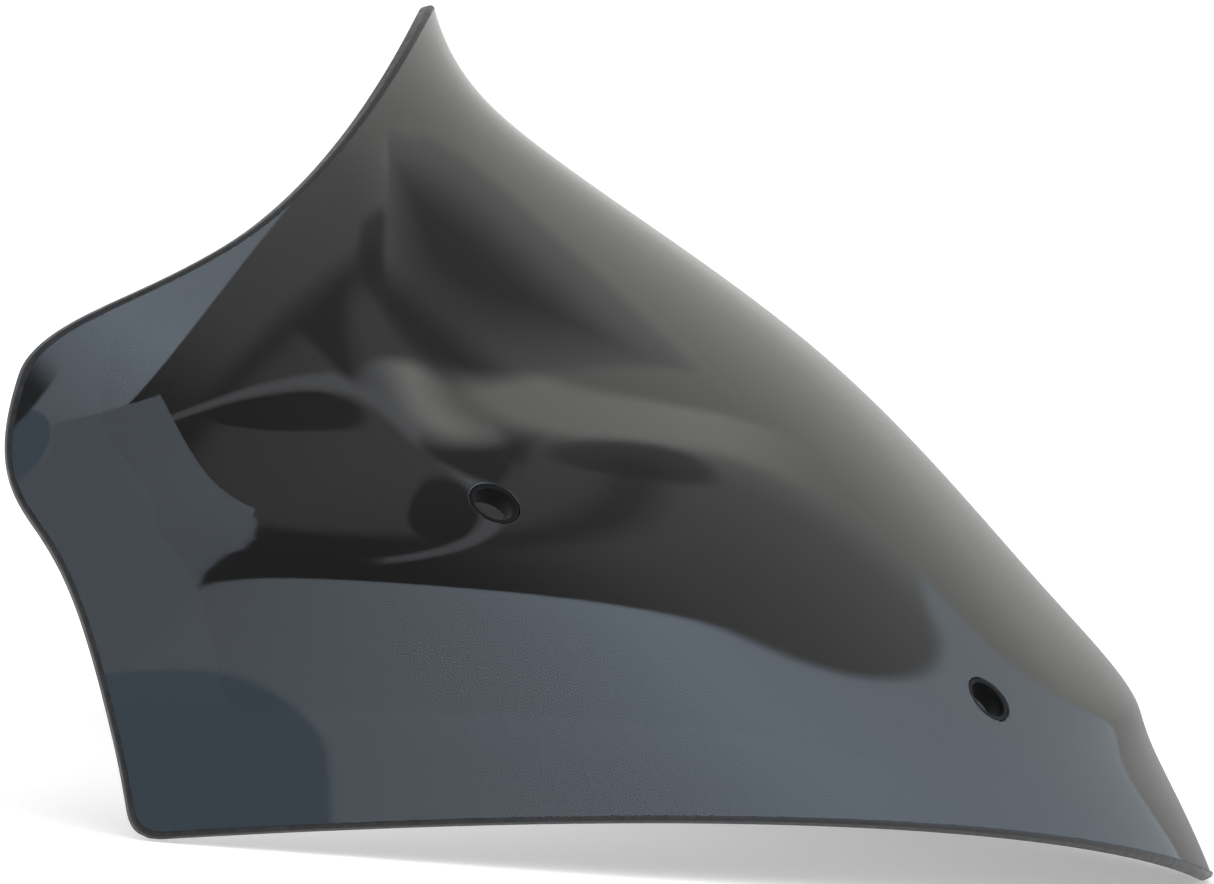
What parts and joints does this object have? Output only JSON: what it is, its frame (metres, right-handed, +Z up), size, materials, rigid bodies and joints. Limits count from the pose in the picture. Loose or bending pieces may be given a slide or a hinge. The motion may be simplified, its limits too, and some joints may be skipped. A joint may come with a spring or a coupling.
{
  "type": "motorcycle windshield screen",
  "caption": "Smoked moulded windscreen with a raised centre lip, flared hips and rubber-bushed holes along each side.",
  "frame": {"origin": "centre of the footprint on the surface that the screen stands on, with its front tip and both rear lower corners touching", "axes": "+Z up, -Y towards the front of the motorcycle, -X towards the rider's right"},
  "size_m": [0.5182, 0.3473, 0.228],
  "materials": {
    "smoked_plastic": "polished dark-smoke transparent sheet, edges buffed",
    "black_rubber": "moulded matt black rubber"
  },
  "bodies": {
    "root": {"screen": "smoked_plastic", "bushing_front_left": "black_rubber", "bushing_front_right": "black_rubber", "bushing_rear_left": "black_rubber", "bushing_rear_right": "black_rubber"}
  },
  "joints": []
}
